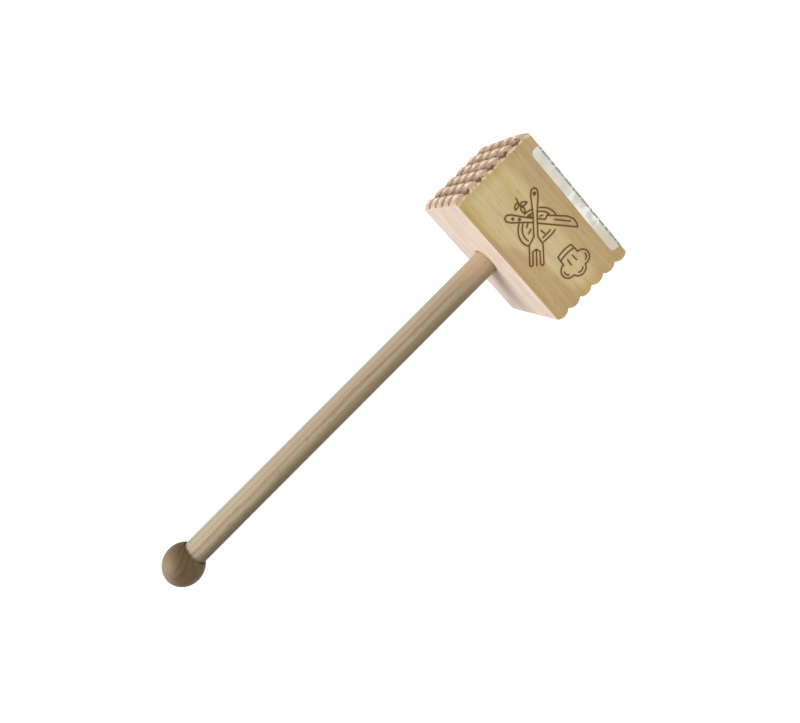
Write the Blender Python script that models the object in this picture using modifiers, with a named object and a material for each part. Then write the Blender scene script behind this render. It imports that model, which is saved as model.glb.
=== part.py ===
"""A wooden meat mallet: head block, dowel handle, ball knob and a folded film label.

The mallet lies on the back of its head. The origin is the centre of the head's back face,
+X runs along the handle towards the ball, +Z goes up through the depth of the head, and the
two striking faces look along Y: pyramid teeth at -Y, rounded ridges at +Y. Units are metres.
"""

import math

import bmesh
import bpy
from mathutils import Matrix, Vector

# Head block
HEAD_HEIGHT = 0.057          # along the handle
HEAD_DEPTH = 0.062           # from the back face up to the engraved front face
HEAD_LENGTH = 0.0954         # from the tooth tips to the ridge crests
EDGE_ROUND = 0.0012          # radius on the four long edges
EDGE_SEGMENTS = 3

# Toothed striking face
TEETH_ALONG = 6              # teeth counted along the handle's direction
TEETH_ACROSS = 5             # teeth counted through the depth
TOOTH_HEIGHT = 0.0025
TOOTH_LAND = 0.0008          # width of the small flat left on each tip
CUTTER_BODY = 0.006          # how far a face cutter reaches outside the face

# Ribbed striking face
RIDGES = 6
RIDGE_HEIGHT = 0.0021
RIDGE_SEGMENTS = 10
RIDGE_STOCK = 0.002          # wood that the ridge cutter takes off over the crests

# Handle
HANDLE_DIAMETER = 0.016
HANDLE_FREE_LENGTH = 0.249   # seen between the head and the mouth of the ball's socket
HANDLE_CHAMFER = 0.001
HEAD_BORE_DEPTH = 0.040
TURNED_STEPS = 64

# Ball knob
BALL_DIAMETER = 0.026
BALL_WALL = 0.009            # wood left between the socket's floor and the far side
MOUTH_CHAMFER = 0.0006
BALL_ARC_SEGMENTS = 20

# Film label
LABEL_LENGTH = 0.076         # along the edge that it is folded over
LABEL_ON_FRONT = 0.0070      # width on the engraved face
LABEL_ON_SIDE = 0.034        # width on the head's far side
LABEL_THICKNESS = 0.0002
LABEL_CORNER = 0.003
LABEL_SHIFT = 0.0027          # centre of the label towards the ridges
CORNER_SEGMENTS = 6

# Fits
JOINT_GAP = 0.0003           # between touching pieces, all round
END_GAP = 0.001              # between a dowel's end and the floor of its bore
CUT_MARGIN = 0.004           # how far a cutter reaches past what it cuts

# Worked out from the sizes above
HEAD_FACE_X = HEAD_HEIGHT / 2
AXIS_Z = HEAD_DEPTH / 2
TOOTH_TIP_Y = -HEAD_LENGTH / 2
TOOTH_VALLEY_Y = TOOTH_TIP_Y + TOOTH_HEIGHT
RIDGE_CREST_Y = HEAD_LENGTH / 2
RIDGE_VALLEY_Y = RIDGE_CREST_Y - RIDGE_HEIGHT
BORE_RADIUS = HANDLE_DIAMETER / 2 + JOINT_GAP
BALL_RADIUS = BALL_DIAMETER / 2
MOUTH_RADIUS = BORE_RADIUS + MOUTH_CHAMFER
MOUTH_TO_BALL_CENTRE = math.sqrt(BALL_RADIUS**2 - MOUTH_RADIUS**2)
BALL_CENTRE_X = HEAD_FACE_X + HANDLE_FREE_LENGTH + MOUTH_TO_BALL_CENTRE
SOCKET_FLOOR_X = BALL_CENTRE_X + BALL_RADIUS - BALL_WALL

WOOD_HEAD = (0.57, 0.46, 0.25)
WOOD_HANDLE = (0.50, 0.38, 0.22)
WOOD_BALL = (0.15, 0.09, 0.04)
FILM_WHITE = (0.70, 0.71, 0.68)


def clear_scene():
    """Removes what a new file comes with."""
    for item in list(bpy.data.objects):
        bpy.data.objects.remove(item, do_unlink=True)


def collection(name):
    """A new collection in the scene."""
    made = bpy.data.collections.new(name)
    bpy.context.scene.collection.children.link(made)
    return made


def material(name, colour, roughness):
    """A Principled material of one colour, not metallic."""
    made = bpy.data.materials.new(name)
    made.use_nodes = True
    shader = made.node_tree.nodes["Principled BSDF"]
    shader.inputs["Base Color"].default_value = (*colour, 1.0)
    shader.inputs["Roughness"].default_value = roughness
    shader.inputs["Metallic"].default_value = 0.0
    return made


def mesh_object(name, bm, home):
    """Turns a bmesh into an object in the collection home."""
    mesh = bpy.data.meshes.new(name)
    bm.to_mesh(mesh)
    bm.free()
    made = bpy.data.objects.new(name, mesh)
    home.objects.link(made)
    return made


def flat_outline(name, points, thickness, home):
    """A closed outline in its own XY plane, filled and given a thickness along Z, as a mesh."""
    curve = bpy.data.curves.new(name, "CURVE")
    curve.dimensions = "2D"
    curve.fill_mode = "BOTH"
    curve.extrude = thickness / 2
    spline = curve.splines.new("POLY")
    spline.points.add(len(points) - 1)
    for point, (x, y) in zip(spline.points, points):
        point.co = (x, y, 0.0, 1.0)
    spline.use_cyclic_u = True
    drawn = bpy.data.objects.new(name + "_outline", curve)
    home.objects.link(drawn)
    bpy.context.view_layer.update()
    evaluated = drawn.evaluated_get(bpy.context.evaluated_depsgraph_get())
    mesh = bpy.data.meshes.new_from_object(evaluated)
    bm = bmesh.new()
    bm.from_mesh(mesh)
    bmesh.ops.remove_doubles(bm, verts=bm.verts, dist=1e-6)
    bmesh.ops.recalc_face_normals(bm, faces=bm.faces)
    bpy.data.objects.remove(drawn, do_unlink=True)
    bpy.data.curves.remove(curve)
    bpy.data.meshes.remove(mesh)
    return mesh_object(name, bm, home)


def turned(name, profile, place, home):
    """A turned piece with its axis along world X, from (radius, height) points down its outer side."""
    mesh = bpy.data.meshes.new(name)
    corners = [(radius, 0.0, height) for radius, height in profile]
    mesh.from_pydata(corners, [(i, i + 1) for i in range(len(corners) - 1)], [])
    made = bpy.data.objects.new(name, mesh)
    made.location = place
    made.rotation_euler = (0.0, math.radians(90), 0.0)
    home.objects.link(made)
    lathe = made.modifiers.new("lathe", "SCREW")
    lathe.axis = "Z"
    lathe.steps = TURNED_STEPS
    lathe.render_steps = TURNED_STEPS
    lathe.use_merge_vertices = True
    lathe.merge_threshold = 0.00001
    lathe.use_smooth_shade = True
    return made


def cut(target, cutter):
    """Takes the cutter's shape out of the target."""
    cutter.hide_render = True
    cutter.display_type = "WIRE"
    boolean = target.modifiers.new("cut_" + cutter.name, "BOOLEAN")
    boolean.operation = "DIFFERENCE"
    boolean.solver = "EXACT"
    boolean.object = cutter


def arc(centre_x, centre_y, radius, start, end, segments):
    """Points on an arc, both ends included, angles in radians."""
    step = (end - start) / segments
    angles = [start + step * i for i in range(segments + 1)]
    return [(centre_x + radius * math.cos(a), centre_y + radius * math.sin(a)) for a in angles]


def rounded_rectangle(width, length, radius, segments):
    """Outline of a rectangle with round corners, centred on the origin, width along x."""
    inner_x = width / 2 - radius
    inner_y = length / 2 - radius
    points = []
    for quarter, (sx, sy) in enumerate([(1, 1), (-1, 1), (-1, -1), (1, -1)]):
        start = quarter * math.pi / 2
        points += arc(sx * inner_x, sy * inner_y, radius, start, start + math.pi / 2, segments)
    return points


def ridge_comb():
    """Outline of the cutter that leaves the ridges: one scallop for each, open beyond both edges."""
    pitch = HEAD_HEIGHT / RIDGES
    radius = (pitch**2 / 4 + RIDGE_HEIGHT**2) / (2 * RIDGE_HEIGHT)
    half_angle = math.asin(pitch / 2 / radius)
    start = math.pi / 2 - half_angle
    end = math.pi / 2 + half_angle
    far = HEAD_FACE_X + CUT_MARGIN
    outside_y = RIDGE_CREST_Y + CUTTER_BODY
    points = [(-far, outside_y), (far, outside_y), (far, RIDGE_VALLEY_Y)]
    for ridge in range(RIDGES):
        centre_x = HEAD_FACE_X - pitch * (ridge + 0.5)
        scallop = arc(centre_x, RIDGE_CREST_Y - radius, radius, start, end, RIDGE_SEGMENTS)
        points += scallop if ridge == 0 else scallop[1:]
    points.append((-far, RIDGE_VALLEY_Y))
    return points


def groove_comb(span, teeth):
    """Outline of a cutter with one V for each groove: s runs along the face, y out of it."""
    pitch = span / teeth
    half_width = (pitch - TOOTH_LAND) / 2
    clearance = TOOTH_LAND / 4 * TOOTH_HEIGHT / half_width
    outside_y = TOOTH_TIP_Y - clearance
    reach = half_width * (TOOTH_HEIGHT + clearance) / TOOTH_HEIGHT
    far = span / 2 + pitch
    back_y = TOOTH_TIP_Y - CUTTER_BODY
    points = [(far, back_y), (-far, back_y), (-far, outside_y)]
    for groove in range(teeth + 1):
        s = pitch * groove - span / 2
        points += [(s - reach, outside_y), (s, TOOTH_VALLEY_Y), (s + reach, outside_y)]
    points.append((far, outside_y))
    return points


def make_head(home, cutters):
    """The block: a planed bar with eased edges, shaped at both ends and bored for the handle."""
    section = rounded_rectangle(HEAD_HEIGHT, HEAD_DEPTH, EDGE_ROUND, EDGE_SEGMENTS)
    head = flat_outline("head_block", section, HEAD_LENGTH + RIDGE_STOCK, home)
    head.data.transform(Matrix.Rotation(math.radians(90), 4, "X"))
    head.data.transform(Matrix.Translation((0.0, RIDGE_STOCK / 2, AXIS_Z)))

    ridges = flat_outline("ridge_cutter", ridge_comb(), HEAD_DEPTH + 2 * CUT_MARGIN, cutters)
    ridges.location = (0.0, 0.0, AXIS_Z)
    cut(head, ridges)

    comb = groove_comb(HEAD_HEIGHT, TEETH_ALONG)
    through_depth = flat_outline("grooves_through_depth", comb, HEAD_DEPTH + 2 * CUT_MARGIN, cutters)
    through_depth.location = (0.0, 0.0, AXIS_Z)
    cut(head, through_depth)

    comb = groove_comb(HEAD_DEPTH, TEETH_ACROSS)
    along_handle = flat_outline("grooves_along_handle", comb, HEAD_HEIGHT + 2 * CUT_MARGIN, cutters)
    along_handle.location = (0.0, 0.0, AXIS_Z)
    along_handle.rotation_euler = (0.0, math.radians(-90), 0.0)
    cut(head, along_handle)

    bm = bmesh.new()
    bmesh.ops.create_cone(
        bm,
        cap_ends=True,
        segments=TURNED_STEPS,
        radius1=BORE_RADIUS,
        radius2=BORE_RADIUS,
        depth=HEAD_BORE_DEPTH + CUT_MARGIN,
    )
    bore = mesh_object("handle_bore", bm, cutters)
    bore.location = (HEAD_FACE_X + (CUT_MARGIN - HEAD_BORE_DEPTH) / 2, 0.0, AXIS_Z)
    bore.rotation_euler = (0.0, math.radians(90), 0.0)
    cut(head, bore)
    head.data.materials.append(material("beech_head", WOOD_HEAD, 0.55))
    return head


def make_handle(home):
    """A straight dowel with a small chamfer at both hidden ends."""
    start = -(HEAD_BORE_DEPTH - END_GAP)
    end = SOCKET_FLOOR_X - END_GAP - HEAD_FACE_X
    radius = HANDLE_DIAMETER / 2
    inner = radius - HANDLE_CHAMFER
    profile = [
        (0.0, end),
        (inner, end),
        (radius, end - HANDLE_CHAMFER),
        (radius, start + HANDLE_CHAMFER),
        (inner, start),
        (0.0, start),
    ]
    handle = turned("handle", profile, (HEAD_FACE_X, 0.0, AXIS_Z), home)
    handle.data.materials.append(material("beech_handle", WOOD_HANDLE, 0.5))
    return handle


def make_ball(home):
    """A turned ball with a blind socket that takes the dowel."""
    mouth_angle = math.asin(-MOUTH_TO_BALL_CENTRE / BALL_RADIUS)
    outside = arc(0.0, 0.0, BALL_RADIUS, math.pi / 2, mouth_angle, BALL_ARC_SEGMENTS)
    pole = (0.0, BALL_RADIUS)
    floor = BALL_RADIUS - BALL_WALL
    socket = [
        (BORE_RADIUS, MOUTH_CHAMFER - MOUTH_TO_BALL_CENTRE),
        (BORE_RADIUS, floor),
        (0.0, floor),
    ]
    profile = [pole] + outside[1:] + socket
    ball = turned("ball_knob", profile, (BALL_CENTRE_X, 0.0, AXIS_Z), home)
    ball.data.materials.append(material("stained_ball", WOOD_BALL, 0.6))
    return ball


def fold_over_edge(s):
    """Place of the film's inner side at distance s past the start of the fold.

    Negative s is on the front face, then comes a quarter turn, then the head's far side.
    """
    radius = EDGE_ROUND + JOINT_GAP
    quarter = radius * math.pi / 2
    centre = Vector((-HEAD_FACE_X + EDGE_ROUND, 0.0, HEAD_DEPTH - EDGE_ROUND))
    if s <= 0.0:
        return centre + Vector((-s, 0.0, radius))
    if s >= quarter:
        return centre + Vector((-radius, 0.0, -(s - quarter)))
    turn = s / radius
    return centre + Vector((-radius * math.sin(turn), 0.0, radius * math.cos(turn)))


def make_label(home):
    """A thin film: a flat outline, creased along the fold, bent over the edge, then thickened."""
    quarter = (EDGE_ROUND + JOINT_GAP) * math.pi / 2
    on_front = LABEL_ON_FRONT - EDGE_ROUND
    on_side = LABEL_ON_SIDE - EDGE_ROUND
    width = on_front + quarter + on_side
    outline = rounded_rectangle(width, LABEL_LENGTH, LABEL_CORNER, CORNER_SEGMENTS)
    bm = bmesh.new()
    bm.faces.new([bm.verts.new((x, y, 0.0)) for x, y in outline])
    crease_start = -width / 2 + on_front
    for step in range(EDGE_SEGMENTS + 1):
        crease = crease_start + quarter * step / EDGE_SEGMENTS
        geometry = bm.verts[:] + bm.edges[:] + bm.faces[:]
        bmesh.ops.bisect_plane(bm, geom=geometry, plane_co=(crease, 0.0, 0.0), plane_no=(1.0, 0.0, 0.0))
    for vert in bm.verts:
        folded = fold_over_edge(vert.co.x - crease_start)
        vert.co = Vector((folded.x, vert.co.y + LABEL_SHIFT, folded.z))
    bmesh.ops.recalc_face_normals(bm, faces=bm.faces)
    top = max(bm.faces, key=lambda face: face.calc_center_median().z)
    if top.normal.z < 0:
        bmesh.ops.reverse_faces(bm, faces=bm.faces)
    label = mesh_object("label", bm, home)
    film = label.modifiers.new("film", "SOLIDIFY")
    film.thickness = LABEL_THICKNESS
    film.offset = 1.0
    film.use_even_offset = True
    label.data.materials.append(material("clear_film", FILM_WHITE, 0.25))
    return label


def main():
    clear_scene()
    home = collection("meat_mallet")
    cutters = collection("cutters")
    make_head(home, cutters)
    make_handle(home)
    make_ball(home)
    make_label(home)
    bpy.context.view_layer.update()


main()
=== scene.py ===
# %% [markdown]
# # A wooden meat mallet
# One block of beech, a straight dowel, a turned ball and a folded film label. The block's one end is
# sawn into pyramid teeth and its other end is moulded into ridges. The sizes come from the packed
# frame, which stays fixed, and the looks are worked out here in metres in the same frame. The handle
# runs along X, the front with the drawing looks up along Z, and the teeth look along -Y.

# %% Load the fixed frame
import math

import bpy
import numpy as np
from mathutils import Matrix, Vector


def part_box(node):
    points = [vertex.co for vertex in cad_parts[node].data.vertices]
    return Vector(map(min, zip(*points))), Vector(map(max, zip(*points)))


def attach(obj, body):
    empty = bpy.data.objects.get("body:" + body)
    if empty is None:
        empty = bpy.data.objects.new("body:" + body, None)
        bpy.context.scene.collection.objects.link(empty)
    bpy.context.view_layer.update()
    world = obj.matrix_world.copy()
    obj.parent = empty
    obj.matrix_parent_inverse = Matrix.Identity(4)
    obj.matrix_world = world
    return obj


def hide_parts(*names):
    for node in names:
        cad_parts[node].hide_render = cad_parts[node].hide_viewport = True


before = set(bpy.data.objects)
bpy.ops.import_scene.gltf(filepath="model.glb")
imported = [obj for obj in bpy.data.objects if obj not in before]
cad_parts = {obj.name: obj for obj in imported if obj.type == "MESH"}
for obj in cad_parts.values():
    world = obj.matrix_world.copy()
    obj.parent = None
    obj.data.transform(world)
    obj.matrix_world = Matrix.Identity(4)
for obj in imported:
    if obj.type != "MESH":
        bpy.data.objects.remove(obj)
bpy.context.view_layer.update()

# %% [markdown]
# ## Sizes
# The places of the four pieces are read from the frame, so nothing has to be fitted by eye. The few
# sizes below are about how the faces are cut, which a box can't tell.

# %% Boxes of the four pieces
head_low, head_high = (np.array(corner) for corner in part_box("head_block"))
dowel_low, dowel_high = (np.array(corner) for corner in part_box("handle"))
ball_low, ball_high = (np.array(corner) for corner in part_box("ball_knob"))
label_low, label_high = (np.array(corner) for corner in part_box("label"))
AXIS_Z = (head_low[2] + head_high[2]) / 2
print("head", np.round((head_high - head_low) * 1000, 1), "mm, handle axis at z", round(AXIS_Z * 1000, 1))

# %% How the faces are cut
MM = 0.001
EDGE_ROUND = 1.2 * MM        # the four long edges
TEETH_ALONG = 6              # counted along the handle
TEETH_ACROSS = 5             # counted through the depth
TOOTH_HEIGHT = 2.5 * MM
TOOTH_LAND = 0.8 * MM        # the small flat left on each tip
RIDGES = 6
RIDGE_HEIGHT = 2.1 * MM
DOWEL_RADIUS = (dowel_high[1] - dowel_low[1]) / 2
GLUE_GAP = 0.3 * MM          # round the dowel, in the head and in the ball
END_GAP = 1.0 * MM           # between a dowel's end and the floor of its bore
BORE_RADIUS = DOWEL_RADIUS + GLUE_GAP
BORE_FLOOR_X = dowel_low[0] - END_GAP
print("dowel", round(DOWEL_RADIUS * 2000, 2), "mm thick, bore floor at x", round(BORE_FLOOR_X * 1000, 1))

# %% [markdown]
# ## Helpers
# Four small ones serve every piece: one puts arrays into a mesh, one writes a number onto its face
# corners for a material to read, one joins a sheet of points into quads, and one makes a slow wave.
# Painted textures could carry the same numbers, but they would need an unwrapped mesh and pictures.


# %% A mesh from arrays, riding on the mallet's one body
def put_in_mesh(name, places, faces, stands_for, sharp=35):
    """An object at the origin whose mesh has these places and faces, smooth up to the sharp angle."""
    mesh = bpy.data.meshes.new(name)
    mesh.from_pydata(np.asarray(places).tolist(), [], faces)
    mesh.update()
    mesh.shade_smooth()
    mesh.set_sharp_from_angle(angle=math.radians(sharp))
    piece = bpy.data.objects.new(name, mesh)
    bpy.context.scene.collection.objects.link(piece)
    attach(piece, "root")
    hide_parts(stands_for)
    triangles = sum(len(face) - 2 for face in faces)
    print(name, "has", len(places), "points and", triangles, "triangles")
    return piece


# %% Numbers on face corners
def write_on_corners(piece, layer, values):
    """A float layer with one value for each face corner, in the order of the mesh's loops."""
    made = piece.data.attributes.new(layer, "FLOAT", "CORNER")
    made.data.foreach_set("value", np.asarray(values, dtype=np.float32))


# %% Quads between the points of a sheet
def quads(sheet):
    """Quads of a 2-D array of point numbers: each face is (i, j), (i+1, j), (i+1, j+1), (i, j+1).

    The face looks along the first direction crossed with the second.
    """
    corners = [sheet[:-1, :-1], sheet[1:, :-1], sheet[1:, 1:], sheet[:-1, 1:]]
    return np.stack(corners, axis=-1).reshape(-1, 4)


# %% A slow random-looking wave
def ripple(a, b, seed):
    """A sum of six sines of a and b, both in metres, with wavelengths from 9 to 60 mm, about -1 to 1."""
    dice = np.random.default_rng(seed)
    wave = np.zeros(np.broadcast(a, b).shape)
    for length in (60, 43, 31, 22, 14, 9):
        turn, phase = dice.uniform(0, 2 * math.pi, 2)
        along = a * math.cos(turn) + b * math.sin(turn)
        wave = wave + np.sin(along * 2 * math.pi / (length * MM) + phase) / 3.5
    return wave


# %% [markdown]
# ## The head's grid
# The block is the outer skin of a box of lattice points. Its stations are not even: along the handle
# and through the depth each tooth gets the same number of steps, so that the pyramids' edges fall
# exactly on grid diagonals, and along the length they are closest under the burnt drawing. A cube cut
# with Boolean modifiers would be quicker to make, but it leaves long thin faces that shade badly and
# have no points for the drawing's groove.


# %% Stations along the toothed face
SLOPE_STEPS = 9


def tooth_stations(low, high, teeth):
    """Steps up a tooth's slope, one step to the middle of its tip, and the same down, for each tooth."""
    pitch = (high - low) / teeth
    up = np.append(np.linspace(0, (pitch - TOOTH_LAND) / 2, SLOPE_STEPS + 1), pitch / 2)
    down = pitch - up[::-1]
    one_tooth = np.concatenate([up, down[1:-1]])
    starts = low + pitch * np.arange(teeth)
    return np.append((starts[:, None] + one_tooth[None, :]).ravel(), high)


# %% The three rows of stations
TOOTH_VALLEY_Y = head_low[1] + TOOTH_HEIGHT
RIDGE_VALLEY_Y = head_high[1] - RIDGE_HEIGHT
FINE_STEP = 0.45 * MM        # under the burnt drawing
FINE_FROM = -51              # in fine steps from the middle, just past the drawing's two ends
FINE_TO = 87
x_stations = tooth_stations(head_low[0], head_high[0], TEETH_ALONG)
z_stations = tooth_stations(head_low[2], head_high[2], TEETH_ACROSS)
y_fine = FINE_STEP * np.arange(FINE_FROM, FINE_TO + 1)
y_stations = np.concatenate([
    np.linspace(TOOTH_VALLEY_Y, y_fine[0], 13)[:-1],
    y_fine,
    np.linspace(y_fine[-1], RIDGE_VALLEY_Y, 6)[1:],
])
print("stations along x, y and z:", len(x_stations), len(y_stations), len(z_stations))


# %% Skin of the lattice
def lattice_skin(counts):
    """Numbers the points on the outside of a box of lattice points.

    Returns the whole lattice of numbers and the three lattice steps of each numbered point.
    """
    skin = np.ones(counts, dtype=bool)
    skin[1:-1, 1:-1, 1:-1] = False
    numbers = np.full(counts, -1)
    numbers[skin] = np.arange(skin.sum())
    return numbers, np.nonzero(skin)


numbers, (step_x, step_y, step_z) = lattice_skin((len(x_stations), len(y_stations), len(z_stations)))
head_x = x_stations[step_x]
head_y = y_stations[step_y]
head_z = z_stations[step_z]
print("points on the head's skin:", len(head_x))

# %% [markdown]
# ## Eased long edges
# The bar was planed square and its four long edges were broken with a small round. A Bevel modifier
# would do it on a plain box, but here it would also round every tooth. So the square corner of the
# cross-section is carried onto a quarter circle, and the grid bends over the edge.


# %% Square corner to quarter circle
def ease_corners(a, b, half_a, half_b, radius):
    """Carries a rectangle's corners onto quarter circles.

    u and v run from 0 to 1 over the last radius of each direction, and the pair goes to
    u * sqrt(1 - v*v/2) and v * sqrt(1 - u*u/2), which is the circle wherever u or v is 1.
    """
    inner_a = half_a - radius
    inner_b = half_b - radius
    u = np.clip((np.abs(a) - inner_a) / radius, 0, 1)
    v = np.clip((np.abs(b) - inner_b) / radius, 0, 1)
    eased_a = np.minimum(np.abs(a), inner_a) + radius * u * np.sqrt(1 - v * v / 2)
    eased_b = np.minimum(np.abs(b), inner_b) + radius * v * np.sqrt(1 - u * u / 2)
    return np.sign(a) * eased_a, np.sign(b) * eased_b


half_x = (head_high[0] - head_low[0]) / 2
half_z = (head_high[2] - head_low[2]) / 2
head_x, head_z = ease_corners(head_x, head_z - AXIS_Z, half_x, half_z, EDGE_ROUND)
head_z = head_z + AXIS_Z
print("corner point now at", round(head_x.max() * 1000, 2), "mm from the middle")

# %% [markdown]
# ## Pyramid teeth
# A saw with a V-shaped edge crossed the end face twice. Where one groove is nearer it sets the
# height, so a tooth is the lower of two V profiles, stopped at the small flat tip. Use has worn the
# tips down by different amounts, and the outer teeth a little more, most of all at the corners. The
# cutters could be modelled and taken away from the block. A height for every grid point gives the same
# faces and lets each tip wear by its own amount.


# %% Height of the teeth
def tooth_height(x, z):
    """The lower of the two groove profiles at (x, z), each rising evenly from its valley line."""
    heights = []
    for place, low, high, teeth in ((x, head_low[0], head_high[0], TEETH_ALONG),
                                    (z, head_low[2], head_high[2], TEETH_ACROSS)):
        pitch = (high - low) / teeth
        from_valley = np.abs((place - low + pitch / 2) % pitch - pitch / 2)
        heights.append(TOOTH_HEIGHT * from_valley / ((pitch - TOOTH_LAND) / 2))
    return np.minimum(np.minimum(*heights), TOOTH_HEIGHT)


# %% Worn tips, lower still towards the edges by a high power of the distance from the middle
TIP_WEAR = 0.3 * MM
WEAR_AT_ENDS = 1.1 * MM      # at the two edges across the handle's direction
WEAR_AT_SIDES = 0.7 * MM     # at the front and back edges
WEAR_POWER = 9
dice = np.random.default_rng(4)
tip_heights = TOOTH_HEIGHT - dice.uniform(0, TIP_WEAR, (TEETH_ALONG, TEETH_ACROSS))
tip_heights[2, 2] = TOOTH_HEIGHT
on_teeth = step_y == 0
tooth_column = np.clip(step_x // (2 * SLOPE_STEPS + 2), 0, TEETH_ALONG - 1)
tooth_row = np.clip(step_z // (2 * SLOPE_STEPS + 2), 0, TEETH_ACROSS - 1)
height = np.minimum(tooth_height(head_x, head_z), tip_heights[tooth_column, tooth_row])
end_wear = WEAR_AT_ENDS * np.abs(head_x / half_x) ** WEAR_POWER
side_wear = WEAR_AT_SIDES * np.abs((head_z - AXIS_Z) / half_z) ** WEAR_POWER
edge_wear = end_wear + side_wear
head_y = np.where(on_teeth, head_y - height + edge_wear, head_y)
print("teeth stand", round(height[on_teeth].max() * 1000, 2), "mm high")

# %% [markdown]
# ## Rounded ridges
# The other end was run over a moulding cutter that leaves six convex ridges, side by side along the
# handle's direction, each one an arc of a circle with a sharp valley on both sides. It is a height
# again, which only depends on the place along the handle.


# %% Height of the ridges
def ridge_height(x):
    """Height of a circle's arc over its chord, for the arc whose middle is nearest to x."""
    pitch = (head_high[0] - head_low[0]) / RIDGES
    radius = (pitch**2 / 4 + RIDGE_HEIGHT**2) / (2 * RIDGE_HEIGHT)
    from_middle = (x - head_low[0]) % pitch - pitch / 2
    return np.sqrt(radius**2 - from_middle**2) - (radius - RIDGE_HEIGHT)


on_ridges = step_y == len(y_stations) - 1
head_y = np.where(on_ridges, head_y + ridge_height(head_x), head_y)
print("ridges stand", round((head_y.max() - RIDGE_VALLEY_Y) * 1000, 2), "mm high")

# %% [markdown]
# ## Bore for the handle
# The dowel sits in a drilled hole. A Boolean would cut it through the grid and leave slivers round the
# rim. Instead the square rings of grid points round the hole's middle are carried onto circles: one
# ring is the broken rim, the next ones are the wall, and the rest is the floor.

# %% Rings round the bore
RIM_RING = 14                # rings of grid points, counted from the bore's middle
OUTER_RING = 22              # from this one outwards the grid is square again
RIM_BREAK = 0.35 * MM
middle_y = int(np.argmin(np.abs(y_stations)))
middle_z = int(np.argmin(np.abs(z_stations - AXIS_Z)))


def square_ring_to_circle(steps_a, steps_b):
    """Ring number and angle of a lattice point: the ring is the larger of its two steps.

    The angle grows evenly along each side of the square ring, an eighth of a turn for half a side.
    """
    ring = np.maximum(np.abs(steps_a), np.abs(steps_b))
    whole = np.maximum(ring, 1)
    a = steps_a / whole
    b = steps_b / whole
    flat = np.abs(a) >= np.abs(b)
    safe_a = np.where(a == 0, 1, a)
    safe_b = np.where(b == 0, 1, b)
    along_a = math.pi / 4 * b / safe_a + np.where(a < 0, math.pi, 0)
    along_b = math.pi / 2 - math.pi / 4 * a / safe_b + np.where(b < 0, math.pi, 0)
    return ring, np.where(flat, along_a, along_b), a, b


# %% Drill it
on_handle_side = step_x == len(x_stations) - 1
ring, angle, square_a, square_b = square_ring_to_circle(step_y - middle_y, step_z - middle_z)
outer_y = np.interp(middle_y + square_a * OUTER_RING, np.arange(len(y_stations)), y_stations)
outer_z = np.interp(middle_z + square_b * OUTER_RING, np.arange(len(z_stations)), z_stations)
spread = np.clip((ring - RIM_RING) / (OUTER_RING - RIM_RING), 0, 1)
ring_radius = np.select(
    [ring >= RIM_RING, ring >= RIM_RING - 2],
    [BORE_RADIUS + RIM_BREAK, BORE_RADIUS],
    BORE_RADIUS * ring / (RIM_RING - 2),
)
ring_x = np.select(
    [ring >= RIM_RING, ring == RIM_RING - 1],
    [head_high[0], head_high[0] - RIM_BREAK],
    BORE_FLOOR_X,
)
near_bore = on_handle_side & (ring < OUTER_RING)
ring_y = (1 - spread) * ring_radius * np.cos(angle) + spread * outer_y
ring_z = (1 - spread) * (AXIS_Z + ring_radius * np.sin(angle)) + spread * outer_z
head_x = np.where(near_bore, ring_x, head_x)
head_y = np.where(near_bore, ring_y, head_y)
head_z = np.where(near_bore, ring_z, head_z)
print("points moved round the bore:", int(near_bore.sum()))

# %% [markdown]
# ## The burnt drawing
# The front carries a drawing burnt in with a thin hot line. Here it is a plain kitchen sign: a cook's
# hat over a fork and a knife that cross on a steak, with a sprig of herbs. Each part is a row of points
# in millimetres on the face. A picture of the drawing would blur close up, and curves laid on the wood
# would stand proud of it. So every grid point is given its distance to the nearest stroke, which both
# cuts the groove and later browns the line.


# %% Arcs, pieces and what is hidden
def circle(centre_x, centre_y, radius, start=0, end=360, steps=40):
    """Points on a circle's arc between two angles in degrees."""
    turn = np.radians(np.linspace(start, end, steps + 1))
    return np.stack([centre_x + radius * np.cos(turn), centre_y + radius * np.sin(turn)], axis=1)


def pieces_of(points):
    """Straight pieces between neighbouring points, as an array of start and end points."""
    points = np.asarray(points, dtype=float)
    return np.stack([points[:-1], points[1:]], axis=1)


def outside(pieces, centre_x, centre_y, radius):
    """The pieces whose middle isn't inside the circle."""
    middle = pieces.mean(axis=1) - (centre_x, centre_y)
    return pieces[np.hypot(middle[:, 0], middle[:, 1]) > radius]


# %% Strokes of the hat: three puffs over a band, with pleats and folds
puffs = [(-6.6, 29.4, 4.4), (-0.8, 32.1, 4.9), (4.8, 29.2, 4.4)]
strokes = []
for number, puff in enumerate(puffs):
    arc = pieces_of(circle(*puff))
    for other, hole in enumerate(puffs):
        if other != number:
            arc = outside(arc, *hole)
    middle_x, middle_up = arc.mean(axis=1).T
    in_band = (np.abs(middle_x + 0.9) < 5.4) & (middle_up < 28.4)
    strokes.append(arc[~in_band])
strokes.append(pieces_of([(-6.6, 25.1), (-6.2, 19.2), (-3.6, 18.7), (-1, 18.5), (1.6, 18.7), (4.4, 19.2),
                          (4.8, 25)]))
strokes.append(pieces_of([(-6.4, 21.9), (-3.6, 21.4), (-1, 21.2), (1.6, 21.4), (4.5, 21.9)]))
strokes.append(pieces_of([(-2.8, 24.3), (-3.0, 28.1)]))
strokes.append(pieces_of([(1.0, 24.3), (1.4, 28.1)]))
strokes.append(pieces_of(circle(-6.6, 29.4, 2.5, 100, 190)))
strokes.append(pieces_of(circle(-0.8, 32.1, 2.9, 55, 140)))
strokes.append(pieces_of(circle(4.8, 29.2, 2.5, -25, 60)))
print("hat strokes:", sum(len(part) for part in strokes))


# %% Laying a part crosswise
FORK_LINE = np.array([(-11.0, -20.0), (17.0, 14.2)])
KNIFE_LINE = np.array([(13.0, -19.5), (-17.0, 13.6)])


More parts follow.
